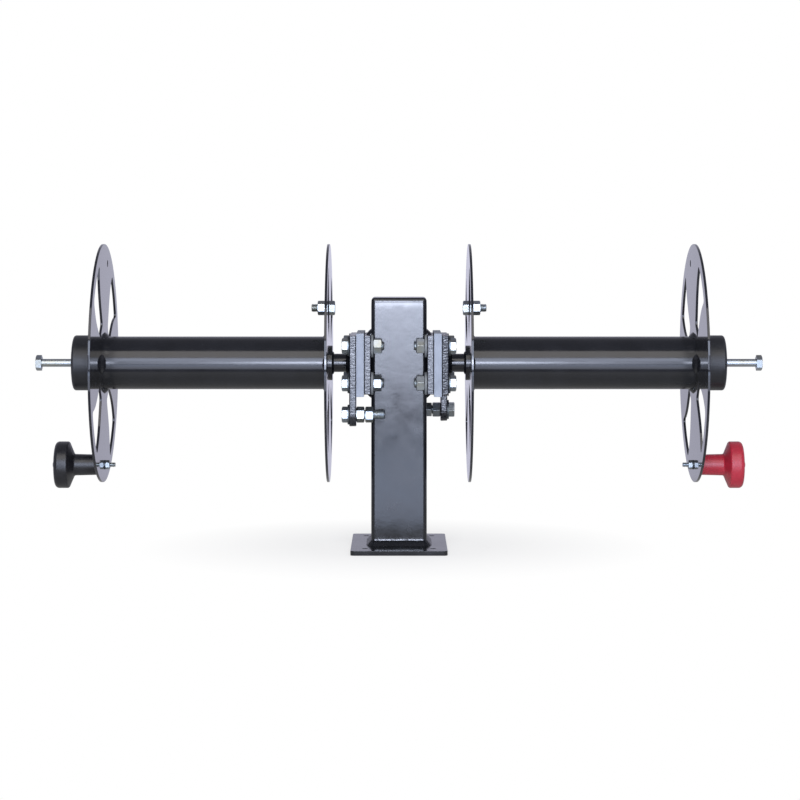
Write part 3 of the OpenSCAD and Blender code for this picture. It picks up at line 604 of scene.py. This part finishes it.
for name, side in sides.items():
    sleeveHoles = [holeLoop(spot, stack["sleeveHole"]) for spot in boltSpots]
    mesh = bmesh.new()
    outline = resample(rectangle(*steelPlate["size"], steelPlate["corner"], 3), steelPlate["cutStep"])
    cut = torchCut(side * torch["backSeed"], steelPlate["cutDepth"])
    addPlate(mesh, [outline] + sleeveHoles, steelPlate["thickness"], steelPlate["edges"],
             stackPlace(side, stack["back"]), cut, steelPlate["cutRows"])
    makePiece(name + "BackingPlate", mesh, plateEnamel, "stand", "plate_paint", name + "_backing_plate")

    mesh = bmesh.new()
    outline = rectangle(*insulator["size"], insulator["corner"], 3)
    addPlate(mesh, [outline] + sleeveHoles, insulator["thickness"], insulator["edges"],
             stackPlace(side, stack["board"]))
    makePiece(name + "InsulatorPlate", mesh, board, "stand", "insulator", name + "_insulator_plate")

    mesh = bmesh.new()
    w, h = steelPlate["size"][0] / 2, steelPlate["size"][1] / 2
    corner, half = steelPlate["corner"], ear["width"] / 2
    low, high = ear["y"] - half, ear["y"] + half
    outline = roundCorners([(-w, -h, corner), (low, -h, ear["corner"]), (low, ear["z"], 0)], 4)
    outline += arc(earSpot, half, 180, 360, ear["steps"])[1:]
    outline += roundCorners([(high, 0, 0), (w, h, corner), (-w, h, corner), (-w, 0, 0)], 4)[1:-1]
    loops = [resample(outline, steelPlate["cutStep"])]
    loops += [holeLoop(spot, stack["boltHole"]) for spot in boltSpots]
    loops += [holeLoop((0, 0), spindle["hole"], spindle["holeSides"]), holeLoop(earSpot, stack["boltHole"])]
    cut = torchCut(side * torch["contactSeed"], steelPlate["cutDepth" if side < 0 else "coarseCut"])
    addPlate(mesh, loops, steelPlate["thickness"], steelPlate["edges"], stackPlace(side, stack["contact"]),
             cut, steelPlate["cutRows"])
    makePiece(name + "ContactPlate", mesh, plateEnamel, "stand", "plate_paint", name + "_contact_plate")

halfInch = {"diameter": 12.7, "flats": 19.05, "head": 7.9, "nut": 11.1, "pitch": 1.954, "washer": 27,
            "washerT": 2.4, "insulating": 31, "insulatingT": 3.2}
# the nut turns are those of the nuts that stopped with a corner near the front, by side and place
clamp = {"length": 49.5, "thread": 24, "turnStep": 0.1, "sideTurn": 0.05, "nutShare": -1.3,
         "nutTurns": {(1, 0): 0.40, (1, 1): 0.44, (-1, 3): 0.41}}
terminal = {"length": 50.8, "thread": 38, "headTurn": 0.08, "nutTurn": 0.05, "nutTurnStep": -0.12,
            "nutsAt": (11.1, 23.2)}
bolts, nuts, washers, pads = bmesh.new(), bmesh.new(), bmesh.new(), bmesh.new()
terminals, terminalNuts = bmesh.new(), bmesh.new()
under = stack["face"] + halfInch["washerT"]
seat = stack["back"] - halfInch["insulatingT"]
for side in sides.values():
    for i, (y, z) in enumerate(boltSpots):
        spin = clamp["turnStep"] * (i - 1.5) + clamp["sideTurn"] * side
        addBolt(bolts, stackPlace(side, under, y, z), halfInch, clamp["length"], clamp["thread"], spin)
        addNut(nuts, stackPlace(side, seat - halfInch["nut"], y, z), halfInch, halfInch["nut"],
               clamp["nutTurns"].get((side, i), clamp["nutShare"] * spin))
        addWasher(pads, stackPlace(side, seat, y, z), halfInch["insulating"], stack["boltHole"],
                  halfInch["insulatingT"])
    for y, z in boltSpots + [earSpot]:
        addWasher(washers, stackPlace(side, stack["face"], y, z), halfInch["washer"], stack["boltHole"],
                  halfInch["washerT"])
    turned = pi / 6 if side > 0 else 0.0
    addBolt(terminals, stackPlace(side, under, *earSpot), halfInch, terminal["length"], terminal["thread"],
            turned + terminal["headTurn"])
    for i, back in enumerate(terminal["nutsAt"]):
        addNut(terminalNuts, stackPlace(side, stack["contact"] - back, *earSpot), halfInch, halfInch["nut"],
               turned + terminal["nutTurn"] + terminal["nutTurnStep"] * i)
makePiece("clampBolts", bolts, zinc, "stand", "zinc", "clamp_bolts")
makePiece("clampNuts", nuts, zinc, "stand", "zinc", "clamp_nuts")
# flat washers take the darker zinc, whose colour is painted shade
makePiece("flatWashers", washers, shadedDullZinc, "stand", "zinc", "flat_washers")
makePiece("insulatingWashers", pads, fibre, "stand", "insulator", "insulating_washers")
makePiece("terminalBolts", terminals, zinc, "stand", "zinc", "terminal_bolts")
makePiece("terminalNuts", terminalNuts, zinc, "stand", "zinc", "terminal_nuts")

mesh = bmesh.new()
for side in sides.values():
    path = ringPath(side, stack["face"], spindle["radius"] + beadForm["gap"], 1)
    addBead(mesh, path, spindle["weld"], spindle["seed"] + side)
makePiece("spindleWelds", mesh, postEnamel, "stand", "black_paint", "spindle_welds")
print("clamp stacks made")


# reels: x is out from the post's middle
drum = {"start": 99.0, "end": 448.4, "radius": 36.5, "bore": 31.35, "edge": 0.4, "endEdge": 0.8, "sides": 160}
disc = {"inner": 95.6, "outer": 407.3, "outerFace": 410.7, "radius": 164.5, "thickness": 3.4,
        "edges": (0.5, 0.5), "sides": 288, "hubHole": 42.2, "hubSides": 96, "drumHole": 73.2,
        "drumSides": 128, "knobHole": 7.15, "knobR": 141, "spareHole": 9.5, "spareAngle": 77}
window = {"near": 58, "far": 147.5, "angle": 15, "turn": 6, "bow": 4, "corner": 6, "sideSteps": 16}
hub = {"x": 91.8, "flangeR": 24, "flangeT": 3.8, "flangeEdge": 1.0, "sleeveR": 21, "sleeveEdge": 0.6,
       "length": 48.8, "boreR": 16.05, "boreEdge": 0.4, "lip": 2.0, "lipR": 13.0, "lipTip": 14.2,
       "tipEdge": 0.5, "lipFoot": 16.4, "footRound": 0.8, "sides": 112}
tack = {"leg": 6, "angle": 40, "taper": 20, "seed": 20.0}
endCap = {"x": 449.9, "outer": 38.1, "inner": 36.6, "hole": 6.75, "holeEdge": 0.5, "wall": 1.5, "skirt": 25,
          "skirtEdge": 0.6, "round": 3.5, "sides": 144}
endBolt = {"x": 494.5, "length": 76.2, "thread": 30, "turn": 0.1, "shank": 10.9}
lug = {"above": 76, "hole": 11.9, "diameter": 11.1, "flats": 17.5, "head": 7.1, "pitch": 1.814,
       "length": 25.4, "thread": 21, "turn": 0.06, "nut": 11.0, "nutTurn": -0.05, "flange": 21,
       "flangeT": 2.6, "flangeEdge": 0.8, "sunk": 0.6}


# window between two arcs with bowed sides and round corners, clockwise so that the disc is on its left
def windowLoop(turn, bow):
    corner, side = window["corner"], window["angle"]
    far, near = window["far"] - corner, window["near"] + corner
    farAngle = side - degrees(asin(corner / far))
    nearAngle = side - degrees(asin(corner / near))
    halfLoop = arc((0, 0), window["far"], 0, farAngle, 10)
    halfLoop += arc(polar(far, farAngle), corner, farAngle, side + 90, 7)[1:]
    farSide, nearSide = sqrt(far * far - corner * corner), sqrt(near * near - corner * corner)
    for k in range(1, window["sideSteps"]):
        halfLoop.append(Vector(polar(farSide + (nearSide - farSide) * k / window["sideSteps"], side)))
    halfLoop += arc(polar(near, nearAngle), corner, side + 90, nearAngle + 180, 7)
    halfLoop += arc((0, 0), window["near"], nearAngle, 0, 5)[1:]
    turned = []
    for p in halfLoop + [Vector((p.x, -p.y)) for p in halfLoop[-2:0:-1]]:
        share = (p.length - window["near"]) / (window["far"] - window["near"])
        turned.append(Matrix.Rotation(radians(turn + bow * sin(pi * share)), 2) @ p)
    return turned[::-1]


for name, side in sides.items():
    body = name + "_reel"
    mesh = bmesh.new()
    length = drum["end"] - drum["start"]
    edge = drum["edge"]
    profile = roundCorners([(drum["bore"], 0, edge), (drum["radius"], 0, edge),
                            (drum["radius"], length, drum["endEdge"]), (drum["bore"], length, edge)], 3)
    addLathe(mesh, profile, reelPlace(side, drum["start"]), drum["sides"])
    makePiece(name + "DrumTube", mesh, postEnamel, body, "black_paint", name + "_drum_tube")

    rim = arc((0, 0), disc["radius"], 0, 360, disc["sides"])[:-1]
    windows = [windowLoop(turn - window["turn"], -side * window["bow"]) for turn in (45, 135, 225, 315)]
    mesh = bmesh.new()
    loops = [rim, holeLoop((0, 0), disc["hubHole"], disc["hubSides"]),
             holeLoop((0, lug["above"]), lug["hole"])]
    addPlate(mesh, loops + windows, disc["thickness"], disc["edges"], reelPlace(side, disc["inner"]))
    makePiece(name + "InnerDisc", mesh, discEnamel, body, "disc_paint", name + "_inner_disc")
    mesh = bmesh.new()
    loops = [rim, holeLoop((0, 0), disc["drumHole"], disc["drumSides"]),
             holeLoop((0, -disc["knobR"]), disc["knobHole"]),
             holeLoop(polar(disc["knobR"], disc["spareAngle"]), disc["spareHole"])]
    addPlate(mesh, loops + windows, disc["thickness"], disc["edges"], reelPlace(side, disc["outer"]))
    makePiece(name + "OuterDisc", mesh, discEnamel, body, "disc_paint", name + "_outer_disc")

    mesh = bmesh.new()
    profile = roundCorners([(hub["lipR"], -hub["lip"], 0), (hub["lipTip"], -hub["lip"], hub["tipEdge"]),
                            (hub["lipFoot"], 0, hub["footRound"]), (hub["flangeR"], 0, hub["flangeEdge"]),
                            (hub["flangeR"], hub["flangeT"], 0), (hub["sleeveR"], hub["flangeT"], 0),
                            (hub["sleeveR"], hub["length"], hub["sleeveEdge"]),
                            (hub["boreR"], hub["length"], hub["boreEdge"]), (hub["boreR"], 0, 0),
                            (hub["lipR"], 0, 0)])
    addLathe(mesh, profile, reelPlace(side, hub["x"]), hub["sides"])
    makePiece(name + "Hub", mesh, postEnamel, body, "black_paint", name + "_hub")

    mesh = bmesh.new()
    for i, (x, facing) in enumerate(((drum["start"], 1), (disc["outer"], -1), (disc["outerFace"], 1))):
        for quarter in (0, 90, 180, 270):
            path = ringPath(side, x, drum["radius"] + beadForm["gap"], facing, quarter - tack["angle"] / 2,
                            tack["angle"])
            addBead(mesh, path, tack["leg"], tack["seed"] + side + 3 * i + 0.7 * quarter, tack["taper"])
    makePiece(name + "DrumWelds", mesh, postEnamel, body, "black_paint", name + "_drum_welds")

    mesh = bmesh.new()
    profile = roundCorners([(endCap["hole"], 0, endCap["holeEdge"]), (endCap["hole"], -endCap["wall"], 0),
                            (endCap["inner"], -endCap["wall"], 0), (endCap["inner"], -endCap["skirt"], 0),
                            (endCap["outer"], -endCap["skirt"], endCap["skirtEdge"]),
                            (endCap["outer"], 0, endCap["round"])], 8)
    addLathe(mesh, profile, reelPlace(side, endCap["x"]), endCap["sides"])
    makePiece(name + "EndCap", mesh, capVinyl, body, "cap_plastic", name + "_end_cap")

    mesh = bmesh.new()
    addBolt(mesh, reelPlace(side, endBolt["x"]), halfInch, endBolt["length"], endBolt["thread"],
            endBolt["turn"], endBolt["shank"])
    makePiece(name + "EndBolt", mesh, zinc, body, "zinc", name + "_end_bolt")

    mesh = bmesh.new()
    turned = reelPlace(side, disc["inner"], 0, lug["above"]) @ Matrix.Diagonal((1, 1, -1, 1))
    addBolt(mesh, turned, lug, lug["length"], lug["thread"], lug["turn"])
    makePiece(name + "LugBolt", mesh, zinc, body, "zinc", name + "_lug_bolt")
    mesh = bmesh.new()
    addWasher(mesh, reelPlace(side, drum["start"], 0, lug["above"]), lug["flange"], lug["hole"],
              lug["flangeT"], lug["flangeEdge"])
    addNut(mesh, reelPlace(side, drum["start"] + lug["flangeT"] - lug["sunk"], 0, lug["above"]), lug,
           lug["nut"] + lug["sunk"], lug["nutTurn"])
    makePiece(name + "LugNut", mesh, zinc, body, "zinc", name + "_lug_nut")
print("reels made")


# crank knobs and their bolts: z is out from the knob's foot, and a plug with a nub closes the nose
knob = {"x": 415.0, "boreR": 3.225, "boreEdge": 0.3, "stemR": 14, "stemTopR": 14.8, "stemEdge": 0.8,
        "stem": 32, "neck": 3, "rimR": 32.15, "back": 3, "backZ": 43.5, "front": 60.2, "round": 5.5,
        "rise": 2.5, "headZ": 47.2, "headGap": 0.3, "lip": 0.5, "lipDrop": 0.02, "lipDepth": 0.25,
        "sides": 128}
plug = {"radius": 8.5, "gap": 0.1, "z": 52.0, "edge": 0.3, "nubR": 4.75, "nub": 1.8, "nubFoot": 0.5,
        "nubEdge": 0.2, "nubSteps": (15, 30, 45, 60, 75), "sides": 64}
knobBolt = {"diameter": 6.35, "flats": 11.1, "head": 4.2, "pitch": 1.27, "thread": 36, "tail": 7.8,
            "nut": 5.6, "nutTurn": 0.05, "jam": 4.0, "jamTurn": 0.1, "washer": 13, "washerT": 1.2,
            "washerEdge": 0.3}
finishes = {"left": (blackKnob, "black_knob"), "right": (redKnob, "red_knob")}
nose = knob["front"] + knob["rise"]


def knobPlace(side, x):
    return reelPlace(side, x, 0, -disc["knobR"])


for name, side in sides.items():
    finish, slot = finishes[name]
    place = knobPlace(side, knob["x"])
    mesh = bmesh.new()
    mouth = plug["radius"] + plug["gap"]
    profile = roundCorners([(knob["boreR"], 0, knob["boreEdge"]), (knob["stemR"], 0, knob["stemEdge"]),
                            (knob["stemTopR"], knob["stem"], 0)], 4)[:-1]
    profile += arc((knob["stemTopR"] + knob["neck"], knob["stem"]), knob["neck"], 180, 120, 8)
    profile += arc((knob["rimR"] - knob["back"], knob["backZ"]), knob["back"], -60, 0, 8)
    profile += arc((knob["rimR"] - knob["round"], knob["front"] - knob["round"]), knob["round"], 0, 88, 10)
    profile += [(plug["radius"] + knob["lip"], nose - knob["lipDrop"]), (mouth, nose - knob["lipDepth"]),
                (mouth, knob["headZ"]), (knob["boreR"], knob["headZ"])]
    addLathe(mesh, profile, place, knob["sides"])
    makePiece(name + "Knob", mesh, finish, name + "_knob", slot, name + "_knob")

    mesh = bmesh.new()
    foot = nose + plug["nubEdge"]
    wide, edge = plug["radius"], plug["edge"]
    profile = [(0, plug["z"]), (wide, plug["z"]), (wide, nose - edge), (wide - edge, nose),
               (plug["nubR"] + plug["nubFoot"], nose), (plug["nubR"], foot)]
    profile += [(plug["nubR"] * cos(radians(a)), foot + (plug["nub"] - plug["nubEdge"]) * sin(radians(a)))
                for a in plug["nubSteps"]]
    profile += [(0, nose + plug["nub"])]
    addLathe(mesh, profile, place, plug["sides"], False)
    makePiece(name + "KnobPlug", mesh, finish, name + "_knob", slot, name + "_knob_plug")

    body = name + "_reel"
    seat = disc["outer"] - knobBolt["washerT"]
    under = knob["x"] + knob["headZ"] + knob["headGap"]
    length = under - (seat - knobBolt["nut"] - knobBolt["tail"])
    mesh = bmesh.new()
    addBolt(mesh, knobPlace(side, under), knobBolt, length, knobBolt["thread"])
    makePiece(name + "KnobBolt", mesh, zinc, body, "zinc", name + "_knob_bolt")
    mesh = bmesh.new()
    addNut(mesh, knobPlace(side, seat - knobBolt["nut"]), knobBolt, knobBolt["nut"], knobBolt["nutTurn"])
    addNut(mesh, knobPlace(side, disc["outerFace"]), knobBolt, knobBolt["jam"], knobBolt["jamTurn"])
    makePiece(name + "KnobNuts", mesh, zinc, body, "zinc", name + "_knob_nuts")
    mesh = bmesh.new()
    # the knob washer also takes the darker zinc with painted shade
    addWasher(mesh, knobPlace(side, seat), knobBolt["washer"], disc["knobHole"], knobBolt["washerT"],
              knobBolt["washerEdge"])
    makePiece(name + "KnobWasher", mesh, shadedDullZinc, body, "zinc", name + "_knob_washer")
print("knobs made")


# the solids that stay as they are get their finishes
inside = {"insulating_sleeves": board, "thrust_washers": barSteel, "retaining_rings": barSteel}
for name in sides:
    inside.update({name + "_spindle": postEnamel, name + "_hub_bush": bronze, name + "_end_bush": bronze,
                   name + "_bearing_carrier": barSteel, name + "_end_plug": barSteel})
for node, material in inside.items():
    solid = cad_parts[node]
    solid.data.materials.clear()
    solid.data.materials.append(material)
print("inner solids finished")


# whether the camera sees it, and whether a mirror or glass does
def rayKinds(tree):
    path = addNode(tree, "LightPath").outputs
    mirror = addNode(tree, "Math", larger, [path["Is Glossy Ray"], path["Is Transmission Ray"]])
    return path["Is Camera Ray"], mirror


# floor that melts into a white backdrop and keeps the shadow; mirrors see it dimmer near the object;
# a range of four numbers maps the first two to the last two
plainWhite = (1, 1, 1, 1)
stage = {"colour": "#f4f4f6", "drop": 0.0002, "near": -0.36, "far": 6.0, "halfWidth": 4.0,
         "fade": (0.12, 0.36, 0.68, 1.0), "ahead": (-0.12, -0.3, 0.42, 0.64), "away": (0.5, 1.1),
         "farGlow": 0.78, "tint": "#eaeaff"}
mesh = bmesh.new()
corners = ((-1, "near"), (1, "near"), (1, "far"), (-1, "far"))
mesh.faces.new([mesh.verts.new((x * stage["halfWidth"], stage[y], -stage["drop"])) for x, y in corners])
floorData = bpy.data.meshes.new("floor")
mesh.to_mesh(floorData)
mesh.free()
floor = bpy.data.objects.new("floor", floorData)
scene.collection.objects.link(floor)
material, tree = newMaterial({"name": "matPaperFloor"})[:2]
place = addNode(tree, "TexCoord").outputs["Object"]
far = addNode(tree, "VectorMath", {"operation": "LENGTH"}, [place]).outputs["Value"]
fade = addNode(tree, "MapRange", None, [far, *stage["fade"]])
cameraRay, mirrorRay = rayKinds(tree)
seen = addNode(tree, "Math", larger, [cameraRay, mirrorRay])
share = addNode(tree, "Math", multiply, [seen, fade])
paper = addNode(tree, "BsdfDiffuse", None, {"Color": stage["colour"]})
away = addNode(tree, "MapRange", None, [far, *stage["away"]])
tint = [stage["farGlow"] * c for c in hexColour(stage["tint"])]
depth = addNode(tree, "SeparateXYZ", None, [place])
ahead = addNode(tree, "MapRange", None, [depth.outputs["Y"], *stage["ahead"]])
mirrored = addNode(tree, "Mix", colourMix, {0: away, 6: ahead, 7: tint})
shade = addNode(tree, "Mix", colourMix, {0: mirrorRay, 6: plainWhite, 7: mirrored.outputs[2]})
white = addNode(tree, "Emission", None, {"Color": shade.outputs[2]})
mixed = addNode(tree, "MixShader", None, [share, paper, white])
addNode(tree, "OutputMaterial", None, [mixed])
floorData.materials.append(material)

# a bright wall behind, a dimmer room above and in front; white where the camera looks past the object
room = {"diffuse": 0.5, "wall": (0.03, 0.1, 0.85, 0.6), "turn": (-0.3, 0.2), "front": 0.28,
        "ceiling": (0.45, 0.9), "top": 0.25, "tint": "#eaeaff"}
world = bpy.data.worlds.new("studio")
scene.world = world
world.use_nodes = True
tree = world.node_tree
tree.nodes.clear()
way = addNode(tree, "SeparateXYZ", None, [addNode(tree, "TexCoord").outputs["Generated"]]).outputs
wall = addNode(tree, "MapRange", None, [way["Z"], *room["wall"]])
level = addNode(tree, "MapRange", None, [way["Y"], *room["turn"], room["front"], wall])
rise = addNode(tree, "MapRange", None, [way["Z"], *room["ceiling"]])
glow = addNode(tree, "Mix", {"data_type": "FLOAT"}, {0: rise, 2: level, 3: room["top"]})
cameraRay, mirrorRay = rayKinds(tree)
soft = addNode(tree, "Background", None, {"Color": plainWhite, "Strength": room["diffuse"]})
shown = addNode(tree, "Background", None, {"Color": room["tint"], "Strength": glow})
clear = addNode(tree, "Background", None, {"Color": plainWhite, "Strength": 1.0})
first = addNode(tree, "MixShader", None, [mirrorRay, soft, shown])
second = addNode(tree, "MixShader", None, [cameraRay, first, clear])
addNode(tree, "OutputWorld", None, [second])

# a wall of soft boxes behind the camera, brightest in the middle and dimmer towards the floor, and a panel
# above; each has its place in the middle plane, its size, its glow, where white is 1, and its colour
lamps = {"coreBox": ((-3.76, 0.47), (0.80, 0.28), 14.0, "#e4ebff"),
         "middleBox": ((-3.78, 0.43), (0.80, 0.84), 6.5, "#dde7ff"),
         "wideBox": ((-3.82, 0.44), (1.75, 0.84), 3.3, "#dde7ff"),
         "sideBox": ((-3.84, 0.44), (3.4, 0.84), 1.1, "#dde7ff"),
         "lowBox": ((-3.85, -0.25), (2.4, 0.22), 4.2, "#d0e0ff"),
         "lowerBox": ((-3.85, -0.56), (2.4, 0.40), 2.7, "#d9e4ff"),
         "footBox": ((-3.85, -1.09), (2.6, 0.65), 2.4, "#dfe6fa"),
         "highBox": ((-3.6, 1.30), (2.4, 0.90), 5.4, "#dde7ff"),
         "overPanel": ((-2.0, 1.9), (2.6, 1.4), 1.9, "#fffaf4")}
lampAim = Vector((0, 0, 0.25))
wattsPerGlow = 4  # for each square metre
for name, (place, size, glow, colour) in lamps.items():
    data = bpy.data.lights.new(name, "AREA")
    data.shape = "RECTANGLE"
    data.size, data.size_y = size
    data.color = hexColour(colour)[:3]
    data.energy = glow * wattsPerGlow * data.size * data.size_y
    source = bpy.data.objects.new(name, data)
    source.location = (0, *place)
    source.rotation_euler = (lampAim - source.location).to_track_quat("-Z", "Y").to_euler()
    source.visible_camera = False
    scene.collection.objects.link(source)
print("stage lit")
